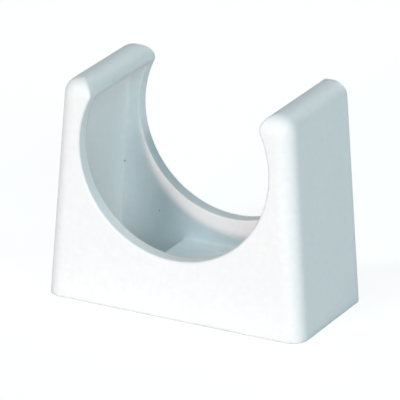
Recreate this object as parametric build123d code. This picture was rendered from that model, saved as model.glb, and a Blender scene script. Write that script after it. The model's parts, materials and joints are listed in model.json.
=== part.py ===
from build123d import *
import math
import os

# Snap-in pipe clip, moulded in one piece of plastic: a hollow shell with two plates that hold the pipe,
# two tapered side walls, two rounded arms and a boss for one countersunk screw.
# Frame: +X across the clip, +Y along the pipe and +Z away from the surface that the clip is screwed to.
# The origin is the middle of the flat base. Lengths are in millimetres and angles in degrees.

# The pipe and its seat
PIPE_DIAMETER = 21.5
SEAT_FLOOR = 6.4         # height of the pipe's underside over the base
WRAP_ANGLE = 27.4        # how far the seat rises past the pipe's middle on each side
SEAT_CHAMFER = 0.16      # on the seat's edges in the front and rear faces

# The outer form
CLIP_DEPTH = 14.9        # along the pipe, at the base
PIPE_SIDE_GAP = 1.4      # between the pipe's side and each side wall
SIDE_TAPER = 4.1         # lean of each side wall
FACE_DRAFT = 0.6         # lean of the front and rear faces
OUTER_EDGE_RADIUS = 1.8
TIP_RADIUS = 1.65        # tip, the inner half of each arm's round top
TIP_END_RADIUS = 0.35    # where each tip meets the front and rear faces

# The shell
PLATE_THICKNESS = 1.55   # front and rear plates
SIDE_WALL = 1.3
CEILING_DROP = 0.3       # depth of the hollow's ceiling under the seat's ends
SET_BACK = 0.08          # gap to the pipe between the plates
HOLLOW_CORNER_RADIUS = 0.3

# The boss and its screw
BOSS_WIDTH = 10.9
BOSS_HEIGHT = 3.15
BOSS_DRAFT = 1.0
BOSS_ROOT_RADIUS = 0.5
SCREW_HOLE_DIAMETER = 4.4
SCREW_HEAD_DIAMETER = 9.0
COUNTERSINK_ANGLE = 90.0

# How far a cutting solid runs past what it cuts
OVERRUN = 2.0

# How near to a plane or a circle an edge lies when it counts as on it
ON_FORM = 0.01

seat_radius = PIPE_DIAMETER / 2
seat_height = SEAT_FLOOR + seat_radius
side_slope = math.tan(math.radians(SIDE_TAPER))
face_slope = math.tan(math.radians(FACE_DRAFT))
base_half_width = seat_radius + PIPE_SIDE_GAP + SIDE_WALL + side_slope * seat_height

tip_x = seat_radius * math.cos(math.radians(WRAP_ANGLE))
tip_z = seat_height + seat_radius * math.sin(math.radians(WRAP_ANGLE))
crown_x = tip_x + TIP_RADIUS
crown_z = tip_z + TIP_RADIUS
ceiling_z = tip_z - CEILING_DROP


def half_width(z):
    """Half of the outer width at a height."""
    return base_half_width - side_slope * z


def half_depth(z):
    """Half of the outer depth at a height."""
    return CLIP_DEPTH / 2 - face_slope * z


def leaning_prism(plane, low, high, half_low, half_high, reach):
    """Prism on an upright plane: a trapezoid from one height to another, drawn out both ways."""
    outline = Polyline((-half_low, low), (half_low, low), (half_high, high), (-half_high, high), close=True)
    return extrude(make_face(plane * outline), amount=reach, both=True)


def tapered_block(low, high, side_inset, face_inset):
    """Block that follows the leaning sides and faces of the clip, set in from them."""
    across = leaning_prism(
        Plane.XZ, low, high, half_width(low) - side_inset, half_width(high) - side_inset, CLIP_DEPTH
    )
    along = leaning_prism(
        Plane.YZ, low, high, half_depth(low) - face_inset, half_depth(high) - face_inset, 2 * base_half_width
    )
    return across & along


def upper_edges(block, low):
    """Edges of a block that don't lie in its lowest plane."""
    return block.edges().filter_by(lambda edge: edge.bounding_box().max.Z > low + ON_FORM)


def outer_form():
    """Solid block with rounded upright and top edges."""
    block = tapered_block(0, crown_z, 0, 0)
    return fillet(upper_edges(block, 0), OUTER_EDGE_RADIUS)


def mouth():
    """Way in for the pipe, between the round tips of the two arms."""
    with BuildSketch(Plane.XZ) as opening:
        with BuildLine():
            Polyline((0, seat_height), (0, crown_z + OVERRUN), (crown_x, crown_z + OVERRUN), (crown_x, crown_z))
            RadiusArc((crown_x, crown_z), (tip_x, tip_z), -TIP_RADIUS)
            Polyline((tip_x, tip_z), (tip_x, seat_height), (0, seat_height))
        make_face()
        mirror(about=Plane.YZ)
    return extrude(opening.sketch, amount=CLIP_DEPTH, both=True)


def pipe_space(radius):
    """Round space about the pipe's axis, through the whole depth."""
    return extrude(Plane.XZ * Pos(0, seat_height) * Circle(radius), amount=CLIP_DEPTH, both=True)


def seat_chamfer(facing):
    """Cone that breaks the seat's edge, square to the front face (facing -1) or the rear face (facing 1)."""
    lean = math.radians(FACE_DRAFT)
    face = Plane(
        origin=(0, facing * half_depth(seat_height), seat_height),
        x_dir=(1, 0, 0),
        z_dir=(0, facing * math.cos(lean), math.sin(lean)),
    )
    reach = 2 * SEAT_CHAMFER
    middle_radius = seat_radius + SEAT_CHAMFER
    return face * Cone(middle_radius - reach, middle_radius + reach, 2 * reach)


def hollow():
    """Space between the plates and side walls, from below the base to under the arm tops."""
    space = tapered_block(-OVERRUN, ceiling_z, SIDE_WALL, PLATE_THICKNESS)
    return fillet(upper_edges(space, -OVERRUN), HOLLOW_CORNER_RADIUS)


def set_back():
    """Wider round space between the plates, so that only the plates touch the pipe."""
    half_low = half_depth(0) - PLATE_THICKNESS
    half_high = half_depth(crown_z) - PLATE_THICKNESS
    between = leaning_prism(Plane.YZ, 0, crown_z, half_low, half_high, 2 * base_half_width)
    return between & pipe_space(seat_radius + SET_BACK)


def boss():
    """Boss that joins the two plates in the middle of the base."""
    half_top = BOSS_WIDTH / 2
    half_bottom = half_top - BOSS_HEIGHT * math.tan(math.radians(BOSS_DRAFT))
    reach = half_depth(BOSS_HEIGHT) - PLATE_THICKNESS / 2
    return leaning_prism(Plane.XZ, 0, BOSS_HEIGHT, half_bottom, half_top, reach)


def screw_hole():
    """Through hole with a countersink for the screw's head."""
    hole_radius = SCREW_HOLE_DIAMETER / 2
    head_radius = SCREW_HEAD_DIAMETER / 2
    sink_depth = (head_radius - hole_radius) / math.tan(math.radians(COUNTERSINK_ANGLE / 2))
    outline = Polyline(
        (0, -OVERRUN),
        (hole_radius, -OVERRUN),
        (hole_radius, BOSS_HEIGHT - sink_depth),
        (head_radius, BOSS_HEIGHT),
        (head_radius, BOSS_HEIGHT + OVERRUN),
        (0, BOSS_HEIGHT + OVERRUN),
        close=True,
    )
    return revolve(make_face(Plane.XZ * outline), Axis.Z)


def is_tip_end(edge):
    """True for an edge between a tip and the rounded top of the front or rear face."""
    middle = edge.position_at(0.5)
    on_tip = abs(math.hypot(abs(middle.X) - crown_x, middle.Z - tip_z) - TIP_RADIUS) < ON_FORM
    return on_tip and tip_x < abs(middle.X) < crown_x and abs(middle.Y) > ON_FORM


def is_boss_root(edge):
    """True for a corner between the boss's top and a plate."""
    middle = edge.center()
    return abs(middle.Z - BOSS_HEIGHT) < ON_FORM and abs(middle.X) < ON_FORM


def clip_body():
    """The whole clip."""
    block = outer_form() - mouth()
    block = fillet(block.edges().filter_by(is_tip_end), TIP_END_RADIUS)
    shell = block - hollow() + boss()
    shell = fillet(shell.edges().filter_by(is_boss_root), BOSS_ROOT_RADIUS)
    shell = shell - set_back() - pipe_space(seat_radius) - screw_hole()
    return shell - seat_chamfer(-1) - seat_chamfer(1)


os.makedirs("parts", exist_ok=True)
export_step(clip_body(), "parts/clip_body.step")
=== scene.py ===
"""Looks of a white, one-piece, snap-in pipe clip on a plain pale floor.

Everything is in metres, in the part's own frame: +X across the clip, +Y along the pipe and +Z away from
the base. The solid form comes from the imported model. This script gives it its moulded plastic finish, adds
the scrap of flash on the rear rim of the seat, and sets up the floor, the light and the camera.
"""

import json
import logging
import math
from dataclasses import dataclass, field
from enum import Enum
from typing import Any

import bmesh
import bpy
from mathutils import Matrix, Vector, noise


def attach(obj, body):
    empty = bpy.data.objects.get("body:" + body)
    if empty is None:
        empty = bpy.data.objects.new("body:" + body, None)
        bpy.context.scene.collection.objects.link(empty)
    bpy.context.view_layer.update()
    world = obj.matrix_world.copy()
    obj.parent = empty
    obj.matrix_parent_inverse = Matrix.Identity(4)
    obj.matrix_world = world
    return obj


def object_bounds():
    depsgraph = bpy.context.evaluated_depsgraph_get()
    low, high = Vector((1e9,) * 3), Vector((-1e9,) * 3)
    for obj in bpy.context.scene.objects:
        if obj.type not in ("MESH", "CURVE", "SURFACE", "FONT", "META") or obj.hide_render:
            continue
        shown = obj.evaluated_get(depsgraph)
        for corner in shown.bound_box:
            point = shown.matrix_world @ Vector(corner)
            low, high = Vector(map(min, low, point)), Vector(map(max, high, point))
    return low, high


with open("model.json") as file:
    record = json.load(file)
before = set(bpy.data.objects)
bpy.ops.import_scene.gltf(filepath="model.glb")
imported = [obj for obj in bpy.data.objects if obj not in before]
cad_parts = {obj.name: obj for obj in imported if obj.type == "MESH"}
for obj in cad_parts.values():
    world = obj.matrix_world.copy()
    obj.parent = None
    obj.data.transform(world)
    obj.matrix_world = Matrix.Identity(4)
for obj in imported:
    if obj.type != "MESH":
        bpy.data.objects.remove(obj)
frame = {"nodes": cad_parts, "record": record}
CAD_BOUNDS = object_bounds()

LOG = logging.getLogger("pipe_clip")
MM = 0.001
ROOT_BODY = "root"

# The Light Path node's output that is 1 for what the camera sees directly
CAMERA_RAY = "Is Camera Ray"

# The Mix node's sockets for colours, by number because their names aren't unique
MIX_SHARE, MIX_FIRST, MIX_SECOND, MIX_RESULT = 0, 6, 7, 2

# Angle of the seat's lowest point about the pipe's axis, from +X towards the mouth
SEAT_BOTTOM_DEG = 270.0

Colour = tuple[float, float, float]
Point = tuple[float, float, float]


class Effect(Enum):
    """Shared surface effects, each made once as a shader node group."""

    GRAIN = "moulded_grain"
    MOTTLE = "tone_mottle"
    SPECKS = "dark_specks"
    SCORCH = "scorch_mark"
    HAIRLINES = "hairline_scuffs"
    # mask of the thin line on the seat's inner rims that carries a painted highlight and a smoother gloss
    PAINTED_RIM_HIGHLIGHT = "painted_rim_highlight"
    BASE_RUB = "base_rub"


class NodeTree:
    """Small helper that adds and joins shader nodes in one tree."""

    def __init__(self, tree: bpy.types.NodeTree) -> None:
        """Keep the tree.

        Args:
            tree: The material's, world's or group's node tree.
        """
        self.tree = tree

    def add(self, kind: str, settings: dict[str, Any] | None = None, **inputs: Any) -> bpy.types.Node:
        """Add one node.

        Args:
            kind: The node's type name without its ShaderNode prefix.
            settings: Properties of the node itself, such as its operation.
            inputs: Input sockets by name, with _ for a space: a socket to join, or a value to set.

        Returns:
            The new node.
        """
        node = self.tree.nodes.new("ShaderNode" + kind)
        for name, value in (settings or {}).items():
            setattr(node, name, value)
        for name, value in inputs.items():
            self.feed(node.inputs[name.replace("_", " ")], value)
        return node

    def feed(self, socket: bpy.types.NodeSocket, value: Any) -> None:
        """Join a socket to another socket, or set its value.

        Args:
            socket: The input socket.
            value: An output socket, or a plain value.
        """
        if isinstance(value, bpy.types.NodeSocket):
            self.tree.links.new(value, socket)
        else:
            socket.default_value = value

    def math(self, operation: str, first: Any, second: Any = 0.0, third: Any = 0.0) -> bpy.types.NodeSocket:
        """Work out one number from up to three others.

        Args:
            operation: The Math node's operation.
            first: First number or socket.
            second: Second number or socket.
            third: Third number or socket.

        Returns:
            The result's socket.
        """
        node = self.add("Math", {"operation": operation})
        for socket, value in zip(node.inputs, (first, second, third)):
            self.feed(socket, value)
        return node.outputs[0]

    def smooth(self, value: Any, low: Any, high: Any) -> bpy.types.NodeSocket:
        """Rise smoothly from 0 to 1 between two limits, or fall where low is above high.

        Args:
            value: The number to judge.
            low: Where the result is 0.
            high: Where the result is 1.

        Returns:
            The result's socket.
        """
        node = self.add("MapRange", {"interpolation_type": "SMOOTHSTEP"})
        for name, item in (("Value", value), ("From Min", low), ("From Max", high)):
            self.feed(node.inputs[name], item)
        return node.outputs["Result"]

    def shade(self, colour: Any, other: Any, share: Any) -> bpy.types.NodeSocket:
        """Mix two colours.

        Args:
            colour: Colour at share 0.
            other: Colour at share 1.
            share: How much of the second colour shows.

        Returns:
            The mixed colour's socket.
        """
        node = self.add("Mix", {"data_type": "RGBA"})
        self.feed(node.inputs[MIX_SHARE], share)
        self.feed(node.inputs[MIX_FIRST], colour)
        self.feed(node.inputs[MIX_SECOND], other)
        return node.outputs[MIX_RESULT]

    def for_camera(self, others: Any, camera: Any) -> bpy.types.NodeSocket:
        """Show one shader to the camera and another to every other ray.

        Args:
            others: Shader that lights the scene.
            camera: Shader that the camera sees directly.

        Returns:
            The joined shader's socket.
        """
        rays = self.add("LightPath")
        node = self.add("MixShader")
        for socket, value in zip(node.inputs, (rays.outputs[CAMERA_RAY], others, camera)):
            self.feed(socket, value)
        return node.outputs[0]


class EffectLibrary:
    """The shared node groups, built on first use."""

    # Noise runs from 0 to 1 about this middle
    NOISE_MIDDLE = 0.5

    # Noise at which each effect starts to show, and at which it shows in full
    CLOUD_RANGE = (0.3, 0.7)
    SCUFF_PATCH_RANGE = (0.5, 0.65)
    RUB_RANGE = (0.45, 0.65)

    # Hairlines: the turn of the streaks in radians, their stretch and the fineness of their noise
    STREAK_TURN = (0.5, 0.9, 0.3)
    STREAK_STRETCH = (9.0, 1.0, 9.0)
    STREAK_FINENESS = 6.0

    # Specks and scorch marks: the share of the radius that is fully dark
    DARK_CORE = 0.4

    # Specks: the smallest size that is drawn, as a share of the stated size
    SMALLEST_SPECK = 0.4

    # Scorch marks: the fineness of the noise that makes them ragged
    SCORCH_FINENESS = 1.5

    def __init__(self) -> None:
        """Start with no group built."""
        self._groups: dict[Effect, bpy.types.NodeTree] = {}
        self._makers = {
            Effect.GRAIN: self._grain,
            Effect.MOTTLE: self._mottle,
            Effect.SPECKS: self._specks,
            Effect.SCORCH: self._scorch,
            Effect.HAIRLINES: self._hairlines,
            Effect.PAINTED_RIM_HIGHLIGHT: self._painted_rim_highlight,
            Effect.BASE_RUB: self._base_rub,
        }

    def place(self, nodes: NodeTree, effect: Effect, vector: Any, **values: Any) -> bpy.types.Node:
        """Put one effect into a material.

        Args:
            nodes: The material's nodes.
            effect: Which effect.
            vector: Socket of the surface point, in metres in the part's frame.
            values: The effect's own inputs, with _ for a space.

        Returns:
            The group node, whose outputs are named.
        """
        if effect not in self._groups:
            self._groups[effect] = self._makers[effect]()
        node = nodes.add("Group")
        node.node_tree = self._groups[effect]
        nodes.feed(node.inputs["Vector"], vector)
        for name, value in values.items():
            nodes.feed(node.inputs[name.replace("_", " ")], value)
        return node

    @staticmethod
    def _new(effect: Effect, inputs: dict[str, float], outputs: tuple[str, ...]) -> tuple[NodeTree, Any, Any]:
        """Make an empty group with its sockets.

        Args:
            effect: The effect that the group is for.
            inputs: Number inputs with their defaults, besides Vector.
            outputs: Names of the number outputs.

        Returns:
            The group's nodes, its input node and its output node.
        """
        tree = bpy.data.node_groups.new(effect.value, "ShaderNodeTree")
        tree.interface.new_socket("Vector", in_out="INPUT", socket_type="NodeSocketVector")
        for name, value in inputs.items():
            socket = tree.interface.new_socket(name, in_out="INPUT", socket_type="NodeSocketFloat")
            socket.default_value = value
        for name in outputs:
            tree.interface.new_socket(name, in_out="OUTPUT", socket_type="NodeSocketFloat")
        return NodeTree(tree), tree.nodes.new("NodeGroupInput"), tree.nodes.new("NodeGroupOutput")

    def _grain(self) -> bpy.types.NodeTree:
        """Fine skin of a spark-finished mould over the slow waves of shrunk plastic."""
        nodes, given, result = self._new(
            Effect.GRAIN,
            {"Grain Size": 0.00025, "Wave Size": 0.004, "Grain Share": 0.2},
            ("Height", "Gloss Shift"),
        )
        vector = given.outputs["Vector"]
        fine_scale = nodes.math("DIVIDE", 1.0, given.outputs["Grain Size"])
        wave_scale = nodes.math("DIVIDE", 1.0, given.outputs["Wave Size"])
        fine = nodes.add("TexNoise", Vector=vector, Scale=fine_scale, Detail=2.0, Roughness=0.6)
        wave = nodes.add("TexNoise", Vector=vector, Scale=wave_scale, Detail=1.0, Roughness=0.4)
        share = given.outputs["Grain Share"]
        fine_part = nodes.math("MULTIPLY", fine.outputs["Fac"], share)
        wave_share = nodes.math("SUBTRACT", 1.0, share)
        height = nodes.math("MULTIPLY_ADD", wave.outputs["Fac"], wave_share, fine_part)
        nodes.feed(result.inputs["Height"], height)
        gloss_shift = nodes.math("SUBTRACT", fine.outputs["Fac"], self.NOISE_MIDDLE)
        nodes.feed(result.inputs["Gloss Shift"], gloss_shift)
        return nodes.tree

    def _mottle(self) -> bpy.types.NodeTree:
        """Soft clouds of tone, drawn out along the flow of the plastic up from the base."""
        nodes, given, result = self._new(Effect.MOTTLE, {"Cloud Size": 0.006, "Stretch": 0.4}, ("Tone",))
        parts = nodes.add("SeparateXYZ", Vector=given.outputs["Vector"])
        drawn = nodes.math("MULTIPLY", parts.outputs["Z"], given.outputs["Stretch"])
        point = nodes.add("CombineXYZ", X=parts.outputs["X"], Y=parts.outputs["Y"], Z=drawn)
        scale = nodes.math("DIVIDE", 1.0, given.outputs["Cloud Size"])
        cloud = nodes.add(
            "TexNoise", Vector=point.outputs[0], Scale=scale, Detail=3.0, Roughness=0.55, Distortion=0.4
        )
        nodes.feed(result.inputs["Tone"], nodes.smooth(cloud.outputs["Fac"], *self.CLOUD_RANGE))
        return nodes.tree

    def _specks(self) -> bpy.types.NodeTree:
        """Sparse dark specks of scorched plastic, each of its own size."""
        nodes, given, result = self._new(
            Effect.SPECKS, {"Spacing": 0.002, "Speck Size": 0.00006, "Coverage": 0.12}, ("Mask",)
        )
        scale = nodes.math("DIVIDE", 1.0, given.outputs["Spacing"])
        cells = nodes.add("TexVoronoi", Vector=given.outputs["Vector"], Scale=scale, Randomness=1.0)
        draw = nodes.add("SeparateColor", Color=cells.outputs["Color"])
        there = nodes.math("LESS_THAN", draw.outputs["Red"], given.outputs["Coverage"])
        size = nodes.math("MULTIPLY", given.outputs["Speck Size"], scale)
        size = nodes.math("MULTIPLY", size, nodes.math("ADD", self.SMALLEST_SPECK, draw.outputs["Green"]))
        core = nodes.math("MULTIPLY", size, self.DARK_CORE)
        spot = nodes.smooth(cells.outputs["Distance"], size, core)
        nodes.feed(result.inputs["Mask"], nodes.math("MULTIPLY", spot, there))
        return nodes.tree

    def _scorch(self) -> bpy.types.NodeTree:
        """One small ragged mark round the place where the given vector is zero."""
        nodes, given, result = self._new(Effect.SCORCH, {"Mark Size": 0.0001, "Raggedness": 0.5}, ("Mask",))
        vector = given.outputs["Vector"]
        size = given.outputs["Mark Size"]
        reach = nodes.add("VectorMath", {"operation": "LENGTH"}, Vector=vector)
        grit_scale = nodes.math("DIVIDE", self.SCORCH_FINENESS, size)
        grit = nodes.add("TexNoise", Vector=vector, Scale=grit_scale, Detail=1.0)
        uneven = nodes.math("SUBTRACT", grit.outputs["Fac"], self.NOISE_MIDDLE)
        torn = nodes.math("MULTIPLY", uneven, given.outputs["Raggedness"])
        far = nodes.math("ADD", nodes.math("DIVIDE", reach.outputs["Value"], size), torn)
        nodes.feed(result.inputs["Mask"], nodes.smooth(far, 1.0, self.DARK_CORE))
        return nodes.tree

    def _hairlines(self) -> bpy.types.NodeTree:
        """Faint hairline scuffs from handling, in loose patches."""
        nodes, given, result = self._new(
            Effect.HAIRLINES, {"Line Size": 0.0009, "Line Width": 0.012, "Patch Size": 0.007}, ("Mask",)
        )
        vector = given.outputs["Vector"]
        turned = nodes.add("Mapping", {"vector_type": "TEXTURE"}, Vector=vector)
        turned.inputs["Rotation"].default_value = self.STREAK_TURN
        turned.inputs["Scale"].default_value = self.STREAK_STRETCH
        scale = nodes.math("DIVIDE", self.STREAK_FINENESS, given.outputs["Line Size"])
        streak = nodes.add("TexNoise", Vector=turned.outputs[0], Scale=scale, Detail=0.0)
        uneven = nodes.math("SUBTRACT", streak.outputs["Fac"], self.NOISE_MIDDLE)
        off_middle = nodes.math("ABSOLUTE", uneven)
        line = nodes.smooth(off_middle, given.outputs["Line Width"], 0.0)
        patch_scale = nodes.math("DIVIDE", 1.0, given.outputs["Patch Size"])
        patch = nodes.add("TexNoise", Vector=vector, Scale=patch_scale, Detail=1.0)
        in_patch = nodes.smooth(patch.outputs["Fac"], *self.SCUFF_PATCH_RANGE)
        nodes.feed(result.inputs["Mask"], nodes.math("MULTIPLY", line, in_patch))
        return nodes.tree

    def _painted_rim_highlight(self) -> bpy.types.NodeTree:
        """Mask of a thin line on the seat beside the inner edge of each plate, for a painted highlight and a
        smoother gloss.
        """
        nodes, given, result = self._new(
            Effect.PAINTED_RIM_HIGHLIGHT,
            {"Seat Radius": 0.01, "Seat Height": 0.017, "Edge Place": 0.006, "Line Width": 0.0003},
            ("Mask",),
        )
        parts = nodes.add("SeparateXYZ", Vector=given.outputs["Vector"])
        rise = nodes.math("SUBTRACT", parts.outputs["Z"], given.outputs["Seat Height"])
        flat = nodes.add("CombineXYZ", X=parts.outputs["X"], Y=0.0, Z=rise)
        reach = nodes.add("VectorMath", {"operation": "LENGTH"}, Vector=flat.outputs[0])
        beyond_seat = nodes.math("SUBTRACT", reach.outputs["Value"], given.outputs["Seat Radius"])
        off_seat = nodes.math("ABSOLUTE", beyond_seat)
        on_seat = nodes.smooth(off_seat, given.outputs["Line Width"], 0.0)
        depth = nodes.math("ABSOLUTE", parts.outputs["Y"])
        off_edge = nodes.math("ABSOLUTE", nodes.math("SUBTRACT", depth, given.outputs["Edge Place"]))
        on_edge = nodes.smooth(off_edge, given.outputs["Line Width"], 0.0)
        nodes.feed(result.inputs["Mask"], nodes.math("MULTIPLY", on_seat, on_edge))
        return nodes.tree

    def _base_rub(self) -> bpy.types.NodeTree:
        """Broken rub marks that fade out upwards from the base's outer edge."""
        nodes, given, result = self._new(Effect.BASE_RUB, {"Reach": 0.0005, "Grit": 0.0006}, ("Mask",))
        parts = nodes.add("SeparateXYZ", Vector=given.outputs["Vector"])
        near = nodes.smooth(parts.outputs["Z"], given.outputs["Reach"], 0.0)
        scale = nodes.math("DIVIDE", 1.0, given.outputs["Grit"])
        grit = nodes.add("TexNoise", Vector=given.outputs["Vector"], Scale=scale, Detail=2.0)
        broken = nodes.smooth(grit.outputs["Fac"], *self.RUB_RANGE)
        nodes.feed(result.inputs["Mask"], nodes.math("MULTIPLY", near, broken))
        return nodes.tree


@dataclass(frozen=True)
class SeatFacts:
    """The pipe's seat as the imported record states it, in metres."""

    radius: float
    height: float
    rear_face_y: float
    plate_inner_y: float

    @classmethod
    def from_record(cls, record: dict[str, Any], plate: float, draft_deg: float) -> "SeatFacts":
        """Read the seat from the record's mount, and the plates' faces at its height from the base's depth.

        Args:
            record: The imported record.
            plate: Thickness of the front and rear plates.
            draft_deg: Lean of the front and rear faces.

        Returns:
            The seat's facts.
        """
        mount = next(m for m in record["mounts"] if m["name"] == "pipe_seat")
        height = mount["pos_m"][2]
        rear_face_y = CAD_BOUNDS[1].y - math.tan(math.radians(draft_deg)) * height
        return cls(mount["dims"]["r_mm"] * MM, height, rear_face_y, rear_face_y - plate)


@dataclass(frozen=True)
class ScorchMark:
    """One dark mark of scorched plastic: its place, its size and how dark it is from 0 to 1."""

    place: Point
    size: float
    darkness: float


@dataclass(frozen=True)
class MouldedPlasticFinish:
    """White injection-moulded plastic with the small faults of a cheap moulding, and a painted highlight
    along the seat's inner rims.
    """

    name: str = "white_moulded_plastic"
    base: Colour = (0.88, 0.885, 0.885)
    cloud: Colour = (0.855, 0.865, 0.867)
    speck: Colour = (0.16, 0.15, 0.14)
    flow: Colour = (0.835, 0.848, 0.852)
    # pale colour of the handling scuffs, and of the painted highlight along the seat's inner rims
    scuff_pale_and_painted_highlight: Colour = (0.97, 0.98, 0.985)
    rubbed: Colour = (0.72, 0.74, 0.74)
    roughness: float = 0.42
    specular: float = 0.42
    scatter: float = 0.35
    scatter_depth: float = 0.0008
    scatter_reach: Colour = (1.0, 0.95, 0.9)
    cloud_share: float = 0.55
    flow_size: float = 0.0006
    flow_share: float = 0.7
    gloss_spread: float = 0.16
    scuff_gloss: float = 0.14
    scuff_share: float = 0.18
    rim_polish: float = 0.30
    rub_share: float = 0.5
    edge_round: float = 0.0002
    edge_samples: int = 6
    skin_depth: float = 0.00002
    scorches: tuple[ScorchMark, ...] = (
        ScorchMark((-12.45 * MM, 5.75 * MM, 10.6 * MM), 0.16 * MM, 0.55),
        ScorchMark((-8.38 * MM, 5.84 * MM, 5.76 * MM), 0.13 * MM, 0.4),
        ScorchMark((13.93 * MM, -3.53 * MM, 10.44 * MM), 0.12 * MM, 0.18),
    )

    def build(self, effects: EffectLibrary, seat: SeatFacts) -> bpy.types.Material:
        """Make the material.

        Args:
            effects: The shared effects.
            seat: Where the seat is, for the line that the pipe rubs.

        Returns:
            The finished material.
        """
        material = bpy.data.materials.new(self.name)
        material.use_nodes = True
        nodes = NodeTree(material.node_tree)
        shader = material.node_tree.nodes["Principled BSDF"]
        point = nodes.add("TexCoord").outputs["Object"]

        grain = effects.place(nodes, Effect.GRAIN, point)
        mottle = effects.place(nodes, Effect.MOTTLE, point)
        flow = effects.place(nodes, Effect.MOTTLE, point, Cloud_Size=self.flow_size, Stretch=1.0)
        specks = effects.place(nodes, Effect.SPECKS, point)
        scuffs = effects.place(nodes, Effect.HAIRLINES, point)
        rim = effects.place(
            nodes, Effect.PAINTED_RIM_HIGHLIGHT, point,
            Seat_Radius=seat.radius, Seat_Height=seat.height, Edge_Place=seat.plate_inner_y,
        )
        rub = effects.place(nodes, Effect.BASE_RUB, point)

        cloud_share = nodes.math("MULTIPLY", mottle.outputs["Tone"], self.cloud_share)
        colour = nodes.shade((*self.base, 1.0), (*self.cloud, 1.0), cloud_share)
        flow_share = nodes.math("MULTIPLY", flow.outputs["Tone"], self.flow_share)
        colour = nodes.shade(colour, (*self.flow, 1.0), flow_share)
        scuff_share = nodes.math("MULTIPLY", scuffs.outputs["Mask"], self.scuff_share)
        colour = nodes.shade(colour, (*self.scuff_pale_and_painted_highlight, 1.0), scuff_share)
        # painted highlight: the thin line along the seat's inner rims is lightened in colour
        colour = nodes.shade(colour, (*self.scuff_pale_and_painted_highlight, 1.0), rim.outputs["Mask"])
        rub_share = nodes.math("MULTIPLY", rub.outputs["Mask"], self.rub_share)
        colour = nodes.shade(colour, (*self.rubbed, 1.0), rub_share)
        colour = nodes.shade(colour, (*self.speck, 1.0), specks.outputs["Mask"])
        for mark in self.scorches:
            offset = nodes.add("VectorMath", {"operation": "SUBTRACT"})
            nodes.feed(offset.inputs[0], point)
            nodes.feed(offset.inputs[1], mark.place)
            spot = effects.place(nodes, Effect.SCORCH, offset.outputs[0], Mark_Size=mark.size)
            darkness = nodes.math("MULTIPLY", spot.outputs["Mask"], mark.darkness)
            colour = nodes.shade(colour, (*self.speck, 1.0), darkness)
        nodes.feed(shader.inputs["Base Color"], colour)

        gloss = nodes.math("MULTIPLY_ADD", grain.outputs["Gloss Shift"], self.gloss_spread, self.roughness)
        gloss = nodes.math("MULTIPLY_ADD", scuffs.outputs["Mask"], self.scuff_gloss, gloss)
        gloss = nodes.math("MULTIPLY_ADD", rim.outputs["Mask"], -self.rim_polish, gloss)
        nodes.feed(shader.inputs["Roughness"], gloss)

        rounded = nodes.add("Bevel", {"samples": self.edge_samples}, Radius=self.edge_round)
        skin = nodes.add(
            "Bump", Distance=self.skin_depth, Height=grain.outputs["Height"], Normal=rounded.outputs[0]
        )
        nodes.feed(shader.inputs["Normal"], skin.outputs[0])

        shader.inputs["Specular IOR Level"].default_value = self.specular
        shader.inputs["Subsurface Weight"].default_value = self.scatter
        shader.inputs["Subsurface Radius"].default_value = self.scatter_reach
        shader.inputs["Subsurface Scale"].default_value = self.scatter_depth
        return material


@dataclass
class ClipBody:
    """The moulded body itself: the CAD node with its finish."""

    node: str = "clip_body"
    plate_thickness: float = 1.55 * MM
    face_draft_deg: float = 0.6
    finish: MouldedPlasticFinish = field(default_factory=MouldedPlasticFinish)

    def seat(self) -> SeatFacts:
        """Find the pipe's seat in this body.

        Returns:
            The seat's facts.
        """
        return SeatFacts.from_record(frame["record"], self.plate_thickness, self.face_draft_deg)

    def build(self, effects: EffectLibrary, seat: SeatFacts) -> bpy.types.Material:
        """Dress the body.

        Args:
            effects: The shared effects.
            seat: The body's seat.

        Returns:
            The plastic, for the flash nub that was moulded with the body.
        """
        body = frame["nodes"][self.node]
        plastic = self.finish.build(effects, seat)
        body.material_slots[0].material = plastic
        LOG.info("%s dressed in %s", self.node, plastic.name)
        return plastic


@dataclass
class FlashNub:
    """Scrap of flash left on the rear rim of the seat, near its lowest point."""

    name: str = "rim_flash_nub"
    place_deg: float = 272.0
    half_length: float = 0.20 * MM
    half_depth: float = 0.10 * MM
    height: float = 0.10 * MM
    inset: float = 0.22 * MM
    lumps: float = 0.25
    lump_fineness: float = 1.7
    lump_offset: Point = (3.1, 0.4, 7.7)
    rings: int = 10
    segments: int = 20

    def build(self, plastic: bpy.types.Material, seat: SeatFacts) -> bpy.types.Object:
        """Make the nub as a small torn lump that sits in the rim.

        Args:
            plastic: The body's plastic.
            seat: The seat that it sits on.

        Returns:
            The nub's object.
        """
        mesh_data = bmesh.new()
        bmesh.ops.create_uvsphere(mesh_data, u_segments=self.segments, v_segments=self.rings, radius=1.0)
        for vertex in mesh_data.verts:
            lump = noise.noise(vertex.co * self.lump_fineness + Vector(self.lump_offset))
            swell = 1.0 + self.lumps * lump
            vertex.co = Vector(
                (vertex.co.x * self.half_length, vertex.co.y * self.half_depth, vertex.co.z * self.height)
            ) * swell
        angle = math.radians(self.place_deg)
        place = Vector(
            (
                math.cos(angle) * seat.radius,
                seat.rear_face_y - self.inset,
                seat.height + math.sin(angle) * seat.radius,
            )
        )
        turn = Matrix.Rotation(angle - math.radians(SEAT_BOTTOM_DEG), 4, "Y").inverted()
        bmesh.ops.transform(mesh_data, matrix=Matrix.Translation(place) @ turn, verts=mesh_data.verts)
        mesh = bpy.data.meshes.new(self.name)
        mesh_data.to_mesh(mesh)
        mesh_data.free()
        mesh.shade_smooth()
        nub = bpy.data.objects.new(self.name, mesh)
        bpy.context.scene.collection.objects.link(nub)
        mesh.materials.append(plastic)
        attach(nub, ROOT_BODY)
        LOG.info("%s made with %d faces", self.name, len(mesh.polygons))
        return nub


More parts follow.
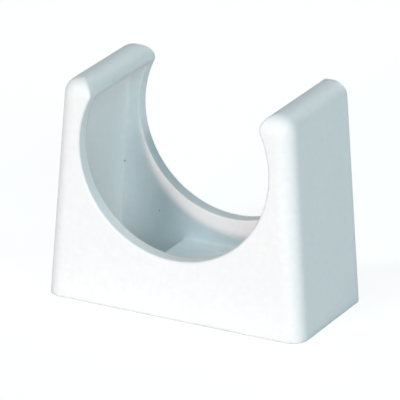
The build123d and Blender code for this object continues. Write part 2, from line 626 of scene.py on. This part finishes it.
@dataclass(frozen=True)
class Floor:
    """Plain pale floor that stays white to the camera and keeps the clip's shadow."""

    name: str = "floor"
    half_size: float = 4.0
    bounce: Colour = (0.80, 0.81, 0.81)
    glow: float = 0.84
    shadow_tone: Colour = (0.26, 0.26, 0.26)

    def build(self) -> bpy.types.Object:
        """Make the floor.

        Returns:
            The floor's object.
        """
        lowest = CAD_BOUNDS[0].z
        mesh = bpy.data.meshes.new(self.name)
        signs = ((-1, -1), (1, -1), (1, 1), (-1, 1))
        corners = [(x * self.half_size, y * self.half_size, lowest) for x, y in signs]
        mesh.from_pydata(corners, [], [(0, 1, 2, 3)])
        floor = bpy.data.objects.new(self.name, mesh)
        bpy.context.scene.collection.objects.link(floor)
        mesh.materials.append(self._material())
        LOG.info("%s laid at %.4f m", self.name, lowest)
        return floor

    def _material(self) -> bpy.types.Material:
        """Pale matt surface, which to the camera is mostly its own white."""
        material = bpy.data.materials.new("pale_floor")
        material.use_nodes = True
        nodes = NodeTree(material.node_tree)
        output = material.node_tree.nodes["Material Output"]
        material.node_tree.nodes.remove(material.node_tree.nodes["Principled BSDF"])
        white = nodes.add("Emission", Color=(1.0, 1.0, 1.0, 1.0), Strength=self.glow)
        catcher = nodes.add("BsdfDiffuse", Color=(*self.shadow_tone, 1.0))
        shown = nodes.add("AddShader")
        nodes.feed(shown.inputs[0], white.outputs[0])
        nodes.feed(shown.inputs[1], catcher.outputs[0])
        plain = nodes.add("BsdfDiffuse", Color=(*self.bounce, 1.0))
        nodes.feed(output.inputs["Surface"], nodes.for_camera(plain.outputs[0], shown.outputs[0]))
        return material


def direction_from_front(azimuth_deg: float, elevation_deg: float) -> Vector:
    """Direction as seen from the part: 0, 0 is straight in front, and a positive azimuth turns to the right.

    Args:
        azimuth_deg: Turn from the front (-Y) towards +X.
        elevation_deg: Height over the floor.

    Returns:
        The unit vector.
    """
    azimuth, elevation = math.radians(azimuth_deg), math.radians(elevation_deg)
    return Vector(
        (
            math.sin(azimuth) * math.cos(elevation),
            -math.cos(azimuth) * math.cos(elevation),
            math.sin(elevation),
        )
    )


@dataclass(frozen=True)
class DistantLamp:
    """Lamp far away, whose spread sets how soft its shadows are."""

    name: str
    azimuth_deg: float
    elevation_deg: float
    spread_deg: float
    strength: float
    colour: Colour

    def build(self) -> bpy.types.Object:
        """Make the lamp.

        Returns:
            The lamp's object.
        """
        lamp = bpy.data.lights.new(self.name, "SUN")
        lamp.energy = self.strength
        lamp.color = self.colour
        lamp.angle = math.radians(self.spread_deg)
        towards = direction_from_front(self.azimuth_deg, self.elevation_deg)
        holder = bpy.data.objects.new(self.name, lamp)
        holder.rotation_mode = "QUATERNION"
        holder.rotation_quaternion = towards.to_track_quat("Z", "Y")
        holder.location = towards
        bpy.context.scene.collection.objects.link(holder)
        return holder


@dataclass(frozen=True)
class StudioLight:
    """Three lamps as read from the shadows in the seat, four soft fills and an even surround."""

    lamps: tuple[DistantLamp, ...] = (
        DistantLamp("key_low_front", -1.5, 8.3, 5.0, 1.38, (1.0, 0.73, 0.65)),
        DistantLamp("soft_front_right", 58.0, 21.0, 7.0, 0.84, (1.0, 0.95, 0.91)),
        DistantLamp("soft_upper_left", -20.0, 46.0, 12.0, 0.90, (0.84, 0.96, 1.0)),
        DistantLamp("cool_right_fill", 30.0, 25.0, 25.0, 0.70, (0.50, 0.87, 1.0)),
        DistantLamp("right_side_fill", 95.0, 45.0, 30.0, 0.28, (0.20, 0.84, 1.0)),
        DistantLamp("left_fill", -95.0, 35.0, 60.0, 0.42, (0.94, 0.97, 1.0)),
        DistantLamp("back_fill", 178.0, 10.0, 30.0, 0.72, (0.98, 0.99, 1.0)),
    )
    surround: Colour = (0.074, 0.076, 0.078)

    def build(self) -> None:
        """Make the lamps and the surround."""
        for lamp in self.lamps:
            lamp.build()
        self._surround()
        LOG.info("light set: %d lamps, surround %s", len(self.lamps), self.surround)

    def _surround(self) -> None:
        """World that lights evenly and looks white to the camera."""
        world = bpy.data.worlds.new("surround")
        bpy.context.scene.world = world
        world.use_nodes = True
        nodes = NodeTree(world.node_tree)
        output = world.node_tree.nodes["World Output"]
        even = world.node_tree.nodes["Background"]
        even.inputs["Color"].default_value = (*self.surround, 1.0)
        white = nodes.add("Background", Color=(1.0, 1.0, 1.0, 1.0), Strength=1.0)
        nodes.feed(output.inputs["Surface"], nodes.for_camera(even.outputs[0], white.outputs[0]))


@dataclass(frozen=True)
class PhotoCamera:
    """Camera as fitted to the outlines in the photograph, a square of image_size pixels."""

    image_size: float = 400.0
    sensor: float = 36.0
    focal_pixels: float = 5348.0
    azimuth_deg: float = 27.3985
    elevation_deg: float = 21.3634
    roll_deg: float = 0.4295
    distance: float = 0.54632
    target: Point = (0.0, 0.0, 0.01075)
    target_pixel: tuple[float, float] = (205.3212, 197.7911)
    clip_ratio: float = 50.0

    def build(self) -> bpy.types.Object:
        """Make the camera and use it.

        Returns:
            The camera's object.
        """
        azimuth, roll = math.radians(self.azimuth_deg), math.radians(self.roll_deg)
        back = direction_from_front(self.azimuth_deg, self.elevation_deg)
        level = Vector((math.cos(azimuth), math.sin(azimuth), 0.0))
        upright = back.cross(level)
        right = level * math.cos(roll) + upright * math.sin(roll)
        up = upright * math.cos(roll) - level * math.sin(roll)
        per_pixel = self.distance / self.focal_pixels
        off_right = (self.target_pixel[0] - self.image_size / 2) * per_pixel
        off_down = (self.target_pixel[1] - self.image_size / 2) * per_pixel
        data = bpy.data.cameras.new("photo_camera")
        data.sensor_width = self.sensor
        data.lens = self.focal_pixels / self.image_size * self.sensor
        data.clip_start = self.distance / self.clip_ratio
        data.clip_end = self.distance * self.clip_ratio
        camera = bpy.data.objects.new("photo_camera", data)
        camera.rotation_mode = "QUATERNION"
        camera.rotation_quaternion = Matrix((right, up, back)).transposed().to_quaternion()
        camera.location = Vector(self.target) + back * self.distance - right * off_right + up * off_down
        bpy.context.scene.collection.objects.link(camera)
        bpy.context.scene.camera = camera
        LOG.info("camera %.0f mm, %.3f m away", data.lens, self.distance)
        return camera


def main() -> None:
    """Build the clip's pieces, then the floor, the light and the camera."""
    logging.basicConfig(level=logging.INFO, format="%(name)s: %(message)s")
    bpy.context.scene.view_settings.view_transform = "Standard"
    effects = EffectLibrary()
    body = ClipBody()
    seat = body.seat()
    plastic = body.build(effects, seat)
    FlashNub().build(plastic, seat)
    Floor().build()
    StudioLight().build()
    PhotoCamera().build()


if __name__ == "__main__":
    main()
